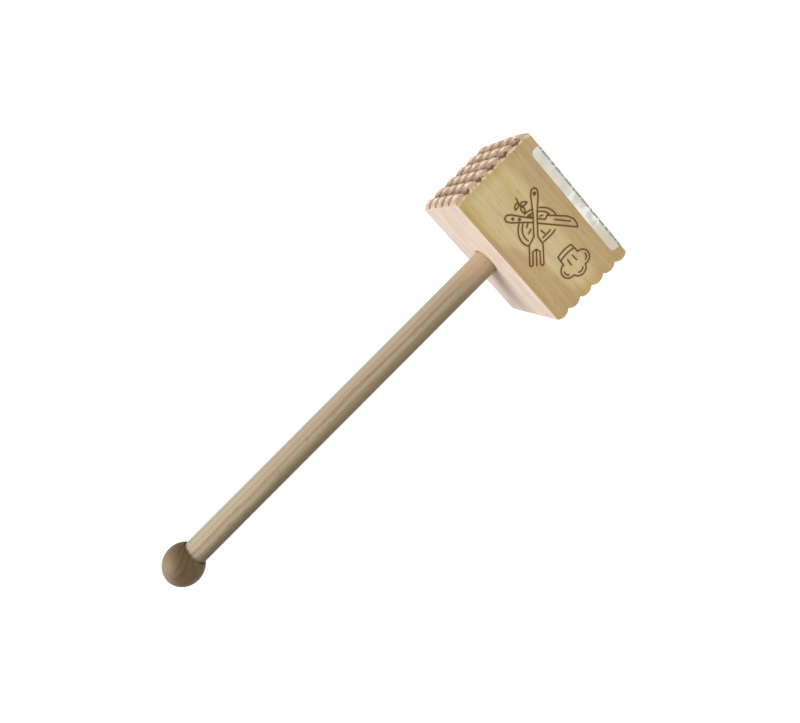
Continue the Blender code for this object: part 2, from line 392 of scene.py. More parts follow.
def lay(points, line):
    """Carries (along, across) points onto a line, from its foot towards its top."""
    ahead = (line[1] - line[0]) / np.hypot(*(line[1] - line[0]))
    sideways = np.array([-ahead[1], ahead[0]])
    return line[0] + points[:, :1] * ahead + points[:, 1:] * sideways


def clear_of(pieces, line, half_width, start=0.0, end=50.0):
    """The pieces that aren't under a part, which is half_width wide to each side of its middle line.

    The part reaches from start to end along the line, in mm.
    """
    ahead = (line[1] - line[0]) / np.hypot(*(line[1] - line[0]))
    middle = pieces.mean(axis=1) - line[0]
    along = middle @ ahead
    across = np.abs(middle @ np.array([-ahead[1], ahead[0]]))
    return pieces[(across > half_width) | (along < start) | (along > end)]


# %% Strokes of the steak, hidden where the fork and the knife lie on it
STEAK_MIDDLE = np.array([1.5, -3.5])


def steak_edge(turn, share):
    """Distance of the steak's outline from its middle: a circle with three slow waves."""
    waves = 1.0 * np.cos(turn - 1.2) + 1.3 * np.cos(2 * turn + 0.3) + 0.5 * np.sin(3 * turn)
    return share * (11.0 + waves)


steak = []
for share in (1.0, 0.78):
    round_turn = np.linspace(0, 2 * math.pi, 121)
    far = steak_edge(round_turn, share)
    steak.append(pieces_of(STEAK_MIDDLE + np.stack([far * np.cos(round_turn), far * np.sin(round_turn)],
                                                   axis=1)))
steak.append(pieces_of([(8.2, -3.2), (5.6, -4.0)]))
steak.append(pieces_of([(-5.6, -1.6), (-3.2, -2.8)]))
steak.append(pieces_of([(1.2, 3.4), (1.8, 0.6)]))
steak.append(pieces_of([(6.9, -6.6), (4.9, -7.6)]))
steak.append(pieces_of([(-4.6, -5.0), (-2.9, -5.9)]))
steak.append(pieces_of([(0.6, -9.4), (2.8, -10.0)]))
steak = np.concatenate(steak)
for line, head_start, head_half in ((FORK_LINE, 28, 4.8), (KNIFE_LINE, 24, 4.3)):
    steak = clear_of(steak, line, 1.7)
    steak = clear_of(steak, line, 2.8, 0, 12)
    steak = clear_of(steak, line, head_half, head_start, 46)
strokes.append(steak)
print("steak strokes:", len(steak))

# %% Strokes of the fork, and of the knife under it
grip = [(15, 1.2), (4, 2.2), (1.2, 1.7), (0.2, 0), (1.2, -1.7), (4, -2.2), (15, -1.2)]
fork = [
    grip,
    [(15, 1.2), (27, 1.2), (29.5, 2.6), (31.5, 4.1), (43, 4.3), (43.7, 3.3), (43, 2.3), (35.5, 2.1)],
    [(15, -1.2), (27, -1.2), (29.5, -2.6), (31.5, -4.1), (43, -4.3), (43.7, -3.3), (43, -2.3),
     (35.5, -2.1)],
    [(35.5, 2.1), (34.3, 0), (35.5, -2.1)],
    [(34.3, 0), (43.6, 0)],
]
knife = [
    grip,
    [(15, 1.2), (24.5, 1.2), (25, 3.5), (37, 3.9), (41.5, 2.8), (44, 0), (44.4, -1.7), (15, -1.2)],
    [(30, 1.5), (39.5, 1.2)],
]
for parts, line in ((fork, FORK_LINE), (knife, KNIFE_LINE)):
    for part in parts:
        corners = np.asarray(part, dtype=float)
        share = np.linspace(0, len(corners) - 1, (len(corners) - 1) * 12 + 1)
        numbers_of_corners = np.arange(len(corners))
        dense = [np.interp(share, numbers_of_corners, corners[:, axis]) for axis in (0, 1)]
        laid = pieces_of(lay(np.stack(dense, axis=1), line))
        strokes.append(clear_of(laid, FORK_LINE, 1.6, 2) if parts is knife else laid)
print("strokes with the fork and the knife:", sum(len(part) for part in strokes))

# %% Holes in the two grips
for along in (5, 9):
    strokes.append(pieces_of(lay(circle(along, 0, 0.5, steps=10), KNIFE_LINE)))
strokes.append(pieces_of(lay(circle(3.4, 0, 0.7, steps=12), FORK_LINE)))

# %% Strokes of a sprig of herbs between the two grips
strokes.append(pieces_of([(1.7, -17.4), (1.4, -20.0), (0.7, -23.2)]))
for foot_x, foot_y, tip_x, tip_y in ((1.7, -17.4, 2.2, -13.0), (1.6, -18.6, -2.6, -16.8),
                                     (1.4, -20.2, 5.4, -18.4)):
    leaf = np.array([(foot_x, foot_y), (tip_x, tip_y)])
    reach = np.hypot(*(leaf[1] - leaf[0]))
    for side in (1, -1):
        edge = np.array([(0, 0), (0.3 * reach, 1.05 * side), (0.65 * reach, 0.9 * side), (reach, 0)])
        strokes.append(pieces_of(lay(edge, leaf)))
strokes = np.concatenate(strokes)
print("burnt strokes:", len(strokes))


# %% Distance to the nearest stroke
def distance_to_strokes(x, y):
    """Smallest distance in mm from each point to the straight pieces.

    The nearest place on a piece is its start plus a share of it, the share held between 0 and 1.
    """
    point = np.stack([x, y], axis=1)[:, None, :] / MM
    start = strokes[None, :, 0]
    ahead = strokes[None, :, 1] - start
    share = ((point - start) * ahead).sum(axis=2) / np.maximum((ahead**2).sum(axis=2), 1e-9)
    gap = point - start - np.clip(share, 0, 1)[..., None] * ahead
    return np.sqrt((gap**2).sum(axis=2)).min(axis=1)


# %% Cut the groove
FAR_MM = 9.0                 # written wherever a pattern isn't near
on_front = step_z == len(z_stations) - 1
burn_mm = np.full(len(head_x), FAR_MM)
burn_mm[on_front] = distance_to_strokes(head_x[on_front], head_y[on_front])
GROOVE_HALF_MM = 0.75
GROOVE_DEPTH = 0.2 * MM
groove = np.clip(1 - (burn_mm / GROOVE_HALF_MM) ** 2, 0, 1) ** 2
head_z = head_z - GROOVE_DEPTH * groove
print("points in the burnt groove:", int((groove > 0).sum()))

# %% [markdown]
# ## The head's surface is never quite flat
# Planing leaves slow dips of a few hundredths of a millimetre, which the light shows on a face that
# is seen at a slant. A bump in the finish would not bend the face's outline or its edges, so the points
# themselves are moved. They only go inwards, so that the block keeps its size.

# %% Slow dips on the four long faces
DIP = 0.05 * MM
dip = DIP * (1 + ripple(head_y, head_x + head_z, 11)) / 2
inside_x = np.abs(head_x) > half_x - DIP
inside_z = np.abs(head_z - AXIS_Z) > half_z - 0.3 * MM      # takes in the floor of the groove
middle_part = (step_y > 2) & (step_y < len(y_stations) - 3)
head_z = head_z - np.where(middle_part & inside_z & on_front, dip, 0)
head_x = head_x - np.where(middle_part & inside_x & ~near_bore, np.sign(head_x) * dip, 0)
print("dips go down to", round(dip.max() * 1000, 3), "mm")

# %% The head's six sides
sides = {
    "front": numbers[:, :, -1],
    "back": numbers[:, :, 0].T,
    "handle side": numbers[-1, :, :],
    "far side": numbers[0, :, :].T,
    "ribbed": numbers[:, -1, :].T,
}
side_quads = {side: quads(sheet) for side, sheet in sides.items()}
toothed_quads = quads(numbers[:, 0, :])
print({side: len(part) for side, part in side_quads.items()}, "toothed", len(toothed_quads))

# %% [markdown]
# The skin has six sides. Five of them are quads. The toothed face is split into triangles along the
# edges of the pyramids, because a quad across such an edge would be folded the wrong way as often as
# not: the diagonal of a grid cell turns over wherever one groove rises while the other falls.

# %% Triangles of the toothed face
cells_x, cells_z = np.meshgrid(np.arange(len(x_stations) - 1), np.arange(len(z_stations) - 1),
                               indexing="ij")
steps_per_tooth = 2 * SLOPE_STEPS + 2
rising_x = cells_x % steps_per_tooth < steps_per_tooth / 2
rising_z = cells_z % steps_per_tooth < steps_per_tooth / 2
same_way = (rising_x == rising_z).ravel()
straight = toothed_quads[same_way]
turned_over = toothed_quads[~same_way]
toothed = np.concatenate([
    straight[:, [0, 1, 2]],
    straight[:, [0, 2, 3]],
    turned_over[:, [0, 1, 3]],
    turned_over[:, [1, 2, 3]],
])
all_quads = np.concatenate(list(side_quads.values()))
head_points = np.stack([head_x, head_y, head_z], axis=1)
head = put_in_mesh("mallet_head", head_points, all_quads.tolist() + toothed.tolist(),
                   "head_block")

# %% Numbers that the head's finish reads, worked out for each point
# The weights make each stain longer one way than the other.
pitch_x = (head_high[0] - head_low[0]) / TEETH_ALONG
pitch_z = (head_high[2] - head_low[2]) / TEETH_ACROSS
nearest_x = np.clip(np.round((head_x - head_low[0]) / pitch_x), 1, TEETH_ALONG - 1)
nearest_z = np.round((head_z - head_low[2]) / pitch_z)
inner_z = np.clip(nearest_z, 1, TEETH_ACROSS - 1)
from_x = np.abs(head_x - head_low[0] - nearest_x * pitch_x) / MM
from_z = np.abs(head_z - head_low[2] - nearest_z * pitch_z) / MM
from_inner_z = np.abs(head_z - head_low[2] - inner_z * pitch_z) / MM
valley_mm = np.minimum(from_x, from_inner_z * 0.7)
at_edge = nearest_z != inner_z
cross_mm = np.hypot(from_x * np.where(at_edge, 0.65, 0.85), from_z * np.where(at_edge, 0.5, 0.62))
tooth_middle = np.clip(from_x / (pitch_x / 2), 0, 1)
past_edge = (head_y - TOOTH_VALLEY_Y - edge_wear) / MM
arris_mm = past_edge - 1.3 * tooth_middle
notch_mm = 0.8 * from_x + 1.1 * past_edge
rim_mm = (np.hypot(head_y, head_z - AXIS_Z) - BORE_RADIUS) / MM
edge_mm = np.minimum(half_x - np.abs(head_x),
                     np.minimum(head_y - TOOTH_VALLEY_Y, RIDGE_VALLEY_Y - head_y)) / MM
print("the front's middle is", round(edge_mm.max(), 1), "mm from its edge")

# %% The same numbers on the face corners, each only where its pattern belongs
loop_points = np.concatenate([all_quads.ravel(), toothed.ravel()])
loop_toothed = np.arange(len(loop_points)) >= all_quads.size
loop_front = on_front[loop_points]
layers = (
    ("tooth_mm", height / MM, loop_toothed),
    ("valley_mm", valley_mm, loop_toothed),
    ("crossing_mm", cross_mm, loop_toothed),
    ("arris_mm", arris_mm, loop_front & ~loop_toothed),
    ("notch_mm", notch_mm, loop_front & ~loop_toothed),
    ("burn_mm", burn_mm, loop_front),
    ("bore_rim_mm", rim_mm, on_handle_side[loop_points]),
    ("front_edge_mm", edge_mm, loop_front),
)
for layer, values, covered in layers:
    write_on_corners(head, layer, np.where(covered, values[loop_points], FAR_MM))
print("corners:", len(loop_points), "on the teeth:", int(loop_toothed.sum()))

# %% [markdown]
# ## Turned pieces
# The dowel and the ball are profiles carried round the handle's axis. A profile is a row of
# (place along X, radius) points, and the first and last ones close on the axis. The Screw modifier
# does the same for a perfect round, but these two are a little out of round.

# %% A profile carried round the axis
ROUND_STEPS = 96


def turn_profile(profile, wobble):
    """Point (i, j) is at (x_i, r cos t_j, r sin t_j), with r the profile's radius plus the wobble there.

    Returns the points, the two poles last, and the faces, fans at the poles.
    """
    along = profile[1:-1, 0][:, None]
    turn = np.linspace(0, 2 * math.pi, ROUND_STEPS, endpoint=False)[None, :]
    radius = profile[1:-1, 1][:, None] + wobble(along, turn)
    rings = np.stack([along + 0 * turn, radius * np.cos(turn), AXIS_Z + radius * np.sin(turn)], axis=-1)
    count = len(profile) - 2
    sheet = np.arange(count * ROUND_STEPS).reshape(count, ROUND_STEPS)
    closed = np.concatenate([sheet, sheet[:, :1]], axis=1)
    first = count * ROUND_STEPS
    poles = [(profile[0, 0], 0.0, AXIS_Z), (profile[-1, 0], 0.0, AXIS_Z)]
    start_fan = np.stack([np.full(ROUND_STEPS, first), closed[0, :-1], closed[0, 1:]], axis=1)
    end_fan = np.stack([np.full(ROUND_STEPS, first + 1), closed[-1, 1:], closed[-1, :-1]], axis=1)
    faces = quads(closed).tolist() + start_fan.tolist() + end_fan.tolist()
    return np.concatenate([rings.reshape(-1, 3), poles]), faces


# %% [markdown]
# ## Handle
# A dowel from a rounding machine is straight, but the knives leave it a few hundredths out of round
# along its length. Both hidden ends have a small chamfer. A cylinder would be enough for its outline,
# but the light runs along a real dowel in slow waves, which only a wavy surface gives.

# %% The dowel
CHAMFER = 1.0 * MM
body = np.linspace(dowel_low[0] + CHAMFER, dowel_high[0] - CHAMFER, 181)
dowel_profile = np.concatenate([
    [(dowel_low[0], 0), (dowel_low[0], DOWEL_RADIUS - CHAMFER)],
    np.stack([body, np.full(len(body), DOWEL_RADIUS)], axis=1),
    [(dowel_high[0], DOWEL_RADIUS - CHAMFER), (dowel_high[0], 0)],
])


def knife_wobble(along, turn):
    """Up to 0.08 mm under the full radius: slow waves along the dowel and one flat round it."""
    slow = 0.5 * np.sin(along / (31 * MM)) * np.cos(2 * turn)
    flat = 0.5 * np.cos(3 * turn + along / (40 * MM))
    return -0.04 * MM * (1 + slow + flat)


dowel_points, dowel_faces = turn_profile(dowel_profile, knife_wobble)
dowel_faces = [face[::-1] for face in dowel_faces]
handle = put_in_mesh("mallet_handle", dowel_points, dowel_faces, "handle")

# %% [markdown]
# ## Ball knob
# The ball was turned on a lathe and drilled for the dowel. Its profile runs from the far pole round
# the outside to the mouth of the socket, over a small chamfer and down the wall to the floor. It is one
# closed skin with the socket in it, so that the dark line round the dowel is a real gap.

# %% The ball
BALL_RADIUS = (ball_high[1] - ball_low[1]) / 2
ball_x = ball_high[0] - BALL_RADIUS
MOUTH_CHAMFER = 0.6 * MM
mouth = BORE_RADIUS + MOUTH_CHAMFER
mouth_turn = math.pi - math.asin(mouth / BALL_RADIUS)
sweep = np.linspace(0, mouth_turn, 61)
outside_arc = np.stack([ball_x + BALL_RADIUS * np.cos(sweep), BALL_RADIUS * np.sin(sweep)], axis=1)
mouth_x = outside_arc[-1, 0]
socket_floor = dowel_high[0] + END_GAP
ball_profile = np.concatenate([
    outside_arc,
    [(mouth_x + MOUTH_CHAMFER, BORE_RADIUS), (socket_floor, BORE_RADIUS), (socket_floor, 0)],
])


def lathe_wobble(along, turn):
    """Up to 0.06 mm under the full radius, in faint rings and one slow lean."""
    return -0.03 * MM * (1 + 0.5 * np.sin(along / (0.9 * MM)) + 0.5 * np.cos(turn + along / (20 * MM)))


ball_points, ball_faces = turn_profile(ball_profile, lathe_wobble)
ball = put_in_mesh("ball_knob_turned", ball_points, ball_faces, "ball_knob")
print("ball", round(BALL_RADIUS * 2000, 1), "mm across, socket mouth at x", round(mouth_x * 1000, 1))

# %% [markdown]
# ## Film label
# A thin self-adhesive film is folded over the long edge between the front and the far side. It is a
# rectangle with round corners, bent over the eased edge and then given its thickness. Where it was
# rubbed down it keeps small creases along the fold. A cloth simulation could fold it, but film keeps
# its size and bends only one way, so a formula for the fold is exact.

# %% The film before folding
FILM = 0.12 * MM             # thickness
LIFT = 0.06 * MM             # the glue under it
FILM_CORNER = 3 * MM
on_front_width = label_high[0] - head_low[0] - EDGE_ROUND
on_side_width = head_high[2] - EDGE_ROUND - label_low[2]
fold_radius = EDGE_ROUND + LIFT
fold_length = fold_radius * math.pi / 2
film_width = on_front_width + fold_length + on_side_width
film_length = label_high[1] - label_low[1]
film_middle_y = (label_high[1] + label_low[1]) / 2
across = np.concatenate([
    np.linspace(-on_front_width, 0, 20)[:-1],
    np.linspace(0, fold_length, 9)[:-1],
    np.linspace(fold_length, fold_length + on_side_width, 60),
])
along = np.linspace(-film_length / 2, film_length / 2, 181)
across, along = np.meshgrid(across, along, indexing="ij")
shift = fold_length + on_side_width - film_width / 2
flat_a, flat_b = ease_corners(across - shift, along, film_width / 2, film_length / 2, FILM_CORNER)
flat_a = flat_a + shift
print("film", round(film_width * 1000, 1), "x", round(film_length * 1000, 1), "mm before folding")


# %% Fold it over the edge
def fold_film(s, lift):
    """Place of the film at distance s past the start of the fold, raised off the wood by lift.

    Before the fold it lies on the front, over the fold it turns a quarter circle, and past it it
    lies on the far side.
    """
    radius = EDGE_ROUND + LIFT + lift
    turn = np.clip(s / fold_radius, 0, math.pi / 2)
    past = np.maximum(s - fold_length, 0)
    before = np.maximum(-s, 0)
    x = head_low[0] + EDGE_ROUND - radius * np.sin(turn) + before
    z = head_high[2] - EDGE_ROUND + radius * np.cos(turn) - past
    return x, z


crease = np.clip(ripple(flat_b * 3.0, flat_a * 5.0, 5), 0, 1) ** 2
CREASE_HEIGHT = 0.16 * MM
across_fade = np.exp(-((flat_a + 1.5 * MM) / (4 * MM)) ** 2)
near_fold = across_fade * np.exp(-((flat_b + 2 * MM) / (22 * MM)) ** 2)
lift = CREASE_HEIGHT * crease * near_fold
film_x, film_z = fold_film(flat_a, lift)
film_points = np.stack([film_x, film_middle_y + flat_b, film_z], axis=-1)
film_sheet = np.arange(film_x.size).reshape(film_x.shape)
label = put_in_mesh("film_label", film_points.reshape(-1, 3), quads(film_sheet.T).tolist(),
                    "label")

# %% Numbers that the film's print reads, then its thickness
film_loops = quads(film_sheet.T).ravel()
write_on_corners(label, "across_mm", flat_a.ravel()[film_loops] / MM)
write_on_corners(label, "along_mm", flat_b.ravel()[film_loops] / MM)
thick = label.modifiers.new("film thickness", "SOLIDIFY")
thick.thickness = FILM
thick.offset = 1.0
print("the film's first face looks along", np.round(label.data.polygons[0].normal, 2))

# %% [markdown]
# ## Finishes
# Every finish starts from colours written as web colours, most of them the real material's own colour in
# daylight and some of them painted light or shade, as said where they are used, and they are turned to the
# linear numbers that the shader needs. Patterns are made from noise and waves in space at real sizes, so
# nothing has to be unwrapped. One function adds a node.


# %% Web colour to linear numbers
def linear(web):
    """Red, green, blue and 1 from #rrggbb, by the sRGB curve."""
    parts = np.array([int(web[i:i + 2], 16) for i in (1, 3, 5)]) / 255
    bent = np.where(parts <= 0.04045, parts / 12.92, ((parts + 0.055) / 1.055) ** 2.4)
    return (*bent.tolist(), 1.0)


# %% One node, with its settings, values and links
def add(tree, kind, settings=None, values=None, links=None, stops=None):
    """Adds a node of that kind. Links say which (node, output) feeds each socket, stops are a ramp's."""
    made = tree.nodes.new(kind)
    for name, value in (settings or {}).items():
        setattr(made, name, value)
    for socket, value in (values or {}).items():
        made.inputs[socket].default_value = value
    for socket, (source, output) in (links or {}).items():
        tree.links.new(source.outputs[output], made.inputs[socket])
    if stops:
        for place, _ in stops[2:]:
            made.color_ramp.elements.new(place)
        for element, (place, web) in zip(made.color_ramp.elements, sorted(stops)):
            element.position = place
            element.color = linear(web)
    return made


def new_material(name, piece):
    """An empty node material on that piece. Returns its tree and its one Principled shader."""
    made = bpy.data.materials.new(name)
    made.use_nodes = True
    piece.data.materials.clear()
    piece.data.materials.append(made)
    return made.node_tree, made.node_tree.nodes["Principled BSDF"]


# %% [markdown]
# ### Wood grain
# Beech is pale, close and even. It has soft rings a few millimetres wide, fine fibres that run with
# the grain, and short darker flecks where the rays are cut. All of that is one pattern in space, long
# in the direction of the grain and short across it, so the end faces show the cut ends by themselves,
# which a wood texture laid on each face would not. A noise's scale is how many lumps it has to the
# metre, so it is one over their real size.

# %% Real sizes of the pattern, across the grain
STREAK = 8.33 * MM
FIBRE = 1.11 * MM            # bundles of fibres, because a single one is far too fine to show
FLECK = 0.77 * MM
RELIEF = 0.3 * MM            # of the bump, more than sanded wood has, so that it shows
print("lumps to the metre:", [round(1 / size) for size in (STREAK, FIBRE, FLECK)])


# %% The pattern that all three wooden pieces share
def grain(tree, turn, pith, ring_mm, stretch):
    """Rings, streaks, fibres and flecks for wood whose grain lies along Y once it is turned.

    Rings are round the pith, a line off to one side; the others are noise, short along Y by stretch.
    """
    place = add(tree, "ShaderNodeTexCoord")
    turned_place = add(tree, "ShaderNodeMapping", values={"Rotation": turn},
                       links={"Vector": (place, "Object")})
    from_pith = add(tree, "ShaderNodeMapping", values={"Location": pith, "Scale": (1, 0.3, 1)},
                    links={"Vector": (turned_place, "Vector")})
    long_place = add(tree, "ShaderNodeMapping", values={"Scale": (1, stretch, 1)},
                     links={"Vector": (turned_place, "Vector")})
    rings = add(tree, "ShaderNodeTexWave", {"wave_type": "RINGS", "rings_direction": "Y"},
                {"Scale": math.pi / (10 * ring_mm * MM), "Distortion": 5.0, "Detail": 2.0,
                 "Detail Scale": 0.35, "Detail Roughness": 0.6},
                {"Vector": (from_pith, "Vector")})
    streaks = add(tree, "ShaderNodeTexNoise", values={"Scale": 1 / STREAK, "Detail": 3, "Roughness": 0.55},
                  links={"Vector": (long_place, "Vector")})
    fibres = add(tree, "ShaderNodeTexNoise", values={"Scale": 1 / FIBRE, "Detail": 3, "Roughness": 0.6},
                 links={"Vector": (long_place, "Vector")})
    short_place = add(tree, "ShaderNodeMapping", values={"Scale": (1, 0.16, 1)},
                      links={"Vector": (turned_place, "Vector")})
    flecks = add(tree, "ShaderNodeTexNoise", values={"Scale": 1 / FLECK, "Detail": 1},
                 links={"Vector": (short_place, "Vector")})
    return place, (rings, "Fac"), (streaks, "Fac"), (fibres, "Fac"), (flecks, "Fac")


# %% What the pattern does to the wood's colour
def lay_grain(tree, colour, tints):
    """The colour times one ramp for each (pattern, stops, strength)."""
    for pattern, stops, strength in tints:
        tint = add(tree, "ShaderNodeValToRGB", links={"Fac": pattern}, stops=stops)
        mixed = add(tree, "ShaderNodeMix", {"data_type": "RGBA", "blend_type": "MULTIPLY"}, {0: strength},
                    {6: colour, 7: (tint, "Color")})
        colour = (mixed, 2)
    return colour


# %% What it does to the wood's surface
def sand_wood(tree, shader, colour, streaks, roughness, height, strength):
    """Links the colour, a roughness that follows the streaks between two values, and the bump."""
    smoothest, roughest = roughness
    rough = add(tree, "ShaderNodeMapRange", values={"To Min": smoothest, "To Max": roughest},
                links={"Value": streaks})
    bump = add(tree, "ShaderNodeBump", values={"Strength": strength, "Distance": RELIEF},
               links={"Height": height})
    source, output = colour
    tree.links.new(source.outputs[output], shader.inputs["Base Color"])
    tree.links.new(rough.outputs["Result"], shader.inputs["Roughness"])
    tree.links.new(bump.outputs["Normal"], shader.inputs["Normal"])


# %% [markdown]
# ### Beech of the head
# Sawn, planed and sanded, with no lacquer. The front is a khaki, the long sides a pale pinkish cream and
# the cut ends browner, chosen by which way each face looks: partly the wood's own tone, partly painted
# shade on the front. It is satin at most, because open fibres scatter the light. The valleys of the teeth
# are darkened with painted shade, most of all where two of them cross, and the tips and the front edge are
# lightened with a painted highlight. The drawing is burnt to a dark brown. Where these lie is known to the
# mesh, so they follow its corner numbers and not more noise.

# %% Head: which face a place is on
tree, shader = new_material("beech, planed and sanded, burnt drawing", head)
shader.inputs["Specular IOR Level"].default_value = 0.35
place, rings, streaks, fibres, flecks = grain(tree, (0, 0, 0), (55 * MM, 0, 30 * MM), 4.2, 0.03)
facing = add(tree, "ShaderNodeNewGeometry")
facing_parts = add(tree, "ShaderNodeSeparateXYZ", links={"Vector": (facing, "Normal")})
front_share = add(tree, "ShaderNodeMapRange", values={"From Min": 0.55, "From Max": 0.8},
                  links={"Value": (facing_parts, "Z")})
sideways = add(tree, "ShaderNodeMath", {"operation": "ABSOLUTE"}, links={0: (facing_parts, "X")})
side_share = add(tree, "ShaderNodeMapRange", values={"From Min": 0.55, "From Max": 0.8},
                 links={"Value": (sideways, 0)})
print("grain and faces take", len(tree.nodes), "nodes")

# %% Head: khaki of the front, partly painted shade, yellower along its edges
PATCH = 21.7 * MM            # slow changes of colour in the board
YELLOW_EDGE_MM = 9.0         # how far in the edges are yellower
cloud_place = add(tree, "ShaderNodeMapping", values={"Scale": (1, 0.55, 1)},
                  links={"Vector": (place, "Object")})
patches = add(tree, "ShaderNodeTexNoise", values={"Scale": 1 / PATCH, "Detail": 2, "Distortion": 0.5},
              links={"Vector": (cloud_place, "Vector")})
khaki = add(tree, "ShaderNodeValToRGB", links={"Fac": (patches, "Fac")},
            stops=[(0.3, "#bca970"), (0.42, "#c4b482"), (0.54, "#c7b88d"), (0.64, "#c7ae86"),
                   (0.76, "#c9a881")])
edge_layer = add(tree, "ShaderNodeAttribute", {"attribute_name": "front_edge_mm"})
edge_noise = add(tree, "ShaderNodeMath", {"operation": "MULTIPLY_ADD"}, {1: 16.0, 2: -8.0},
                 {0: (patches, "Fac")})
edge_away = add(tree, "ShaderNodeMath", {"operation": "ADD"},
                links={0: (edge_layer, "Fac"), 1: (edge_noise, 0)})
edge_share = add(tree, "ShaderNodeMapRange", {"interpolation_type": "SMOOTHSTEP"},
                 {"From Min": YELLOW_EDGE_MM, "From Max": 0.0, "To Max": 0.75}, {"Value": (edge_away, 0)})
yellowed = add(tree, "ShaderNodeMix", {"data_type": "RGBA"}, {7: linear("#b2985c")},
               {0: (edge_share, "Result"), 6: (khaki, "Color")})
print("the front's edges are yellower for about", YELLOW_EDGE_MM, "mm")

# %% Head: the front is browner towards two of its sides
# Each row is a direction, and how far along it the browning starts and is complete.
BROWNER_TOWARDS = (
    ((-1.0, 0.0, 0.0), -1 * MM, 11 * MM),     # the far side
    ((1.0, 0.35, 0.0), 16 * MM, 26 * MM),     # the handle side, a little more at the ridges
)
shift_m = add(tree, "ShaderNodeMath", {"operation": "MULTIPLY_ADD"}, {1: 20 * MM, 2: -10 * MM},
              {0: (patches, "Fac")})
browner = (yellowed, 2)
for direction, near, far in BROWNER_TOWARDS:
    reach = add(tree, "ShaderNodeVectorMath", {"operation": "DOT_PRODUCT"}, {1: direction},
                {0: (place, "Object")})
    wavy = add(tree, "ShaderNodeMath", {"operation": "ADD"}, links={0: (reach, "Value"), 1: (shift_m, 0)})
    share = add(tree, "ShaderNodeMapRange", {"interpolation_type": "SMOOTHSTEP"},
                {"From Min": near, "From Max": far, "To Max": 0.8}, {"Value": (wavy, 0)})
    deeper = add(tree, "ShaderNodeMix", {"data_type": "RGBA"}, {7: linear("#af966a")},
                 {0: (share, "Result"), 6: browner})
    browner = (deeper, 2)
print("browner towards", len(BROWNER_TOWARDS), "sides")

# %% Head: cream sides and brown cut ends, each on its own faces
cream = add(tree, "ShaderNodeValToRGB", links={"Fac": (patches, "Fac")},
            stops=[(0.3, "#d9c8bd"), (0.5, "#e2d3c8"), (0.7, "#ddccc2")])
cut_ends = add(tree, "ShaderNodeValToRGB", links={"Fac": (patches, "Fac")},
               stops=[(0.3, "#a1876f"), (0.6, "#b79f88")])
# The front's khaki beside the cream sides is partly the wood's own tone and partly painted shade on the
# front.
front_and_ends = add(tree, "ShaderNodeMix", {"data_type": "RGBA"},
                     links={0: (front_share, "Result"), 6: (cut_ends, "Color"), 7: browner})
all_faces = add(tree, "ShaderNodeMix", {"data_type": "RGBA"},
                links={0: (side_share, "Result"), 6: (front_and_ends, 2), 7: (cream, "Color")})

# %% Head: grain over the colours
colour = lay_grain(tree, (all_faces, 2), (
    (rings, [(0.15, "#ffffff"), (0.95, "#f0e6da")], 0.35),
    (streaks, [(0.3, "#eee4d6"), (0.62, "#ffffff")], 0.55),
    (fibres, [(0.3, "#e8e0d4"), (0.6, "#ffffff")], 0.6),
    (flecks, [(0.62, "#ffffff"), (0.74, "#d9c6ad")], 0.5),
))
print("with its grain the head takes", len(tree.nodes), "nodes")

# %% Head: painted highlight along the front edge
BREAKUP = 2.08 * MM            # breaks up the painted valley shade, and the painted highlight on the front edge with it
breakup_noise = add(tree, "ShaderNodeTexNoise", values={"Scale": 1 / BREAKUP, "Detail": 2, "Roughness": 0.6},
            links={"Vector": (place, "Object")})
broken = add(tree, "ShaderNodeMapRange", {"interpolation_type": "SMOOTHSTEP"},
             {"From Min": 0.42, "From Max": 0.58, "To Min": 0.1}, {"Value": (breakup_noise, "Fac")})
arris_layer = add(tree, "ShaderNodeAttribute", {"attribute_name": "arris_mm"})
arris = add(tree, "ShaderNodeMapRange", {"interpolation_type": "SMOOTHSTEP"},
            {"From Min": 0.5, "From Max": -0.25, "To Max": 0.5}, {"Value": (arris_layer, "Fac")})
arris_highlight = add(tree, "ShaderNodeMath", {"operation": "MULTIPLY"},
                 links={0: (arris, "Result"), 1: (broken, "Result")})
print("the front edge is broken every", round(BREAKUP * 1000, 1), "mm or so")

# %% Head: painted highlight on the tips
TIP_HIGHLIGHT_FROM_MM = 1.1           # up the tooth
CRUMB = 0.91 * MM            # of the torn crumbs in the tips' bump, which also break up the painted tip highlight
tooth_layer = add(tree, "ShaderNodeAttribute", {"attribute_name": "tooth_mm"})
tip = add(tree, "ShaderNodeMapRange", {"interpolation_type": "SMOOTHSTEP"},
          {"From Min": TIP_HIGHLIGHT_FROM_MM, "From Max": 2.2}, {"Value": (tooth_layer, "Fac")})
on_tooth = add(tree, "ShaderNodeMath", {"operation": "LESS_THAN"}, {1: FAR_MM / 2},
               {0: (tooth_layer, "Fac")})
crumbs = add(tree, "ShaderNodeTexNoise", values={"Scale": 1 / CRUMB, "Detail": 2, "Roughness": 0.6},
             links={"Vector": (place, "Object")})
tip_highlight_breaks = add(tree, "ShaderNodeMapRange", {"interpolation_type": "SMOOTHSTEP"},
                  {"From Min": 0.42, "From Max": 0.6, "To Min": 0.2}, {"Value": (crumbs, "Fac")})
tip_highlight = add(tree, "ShaderNodeMath", {"operation": "MULTIPLY"},
               links={0: (tip, "Result"), 1: (tip_highlight_breaks, "Result")})
tip_highlight_share = add(tree, "ShaderNodeMath", {"operation": "MULTIPLY"},
                links={0: (tip_highlight, 0), 1: (on_tooth, 0)})
# Painted highlight: the tips and the front edge are lightened to a pale cream where they catch the lamp.
painted_highlight_share = add(tree, "ShaderNodeMath", {"operation": "MAXIMUM"}, links={0: (arris_highlight, 0), 1: (tip_highlight_share, 0)})
highlighted = add(tree, "ShaderNodeMix", {"data_type": "RGBA"}, {7: linear("#ecdac4")}, {0: (painted_highlight_share, 0), 6: colour})
print("torn wood starts", TIP_HIGHLIGHT_FROM_MM, "mm up the teeth")
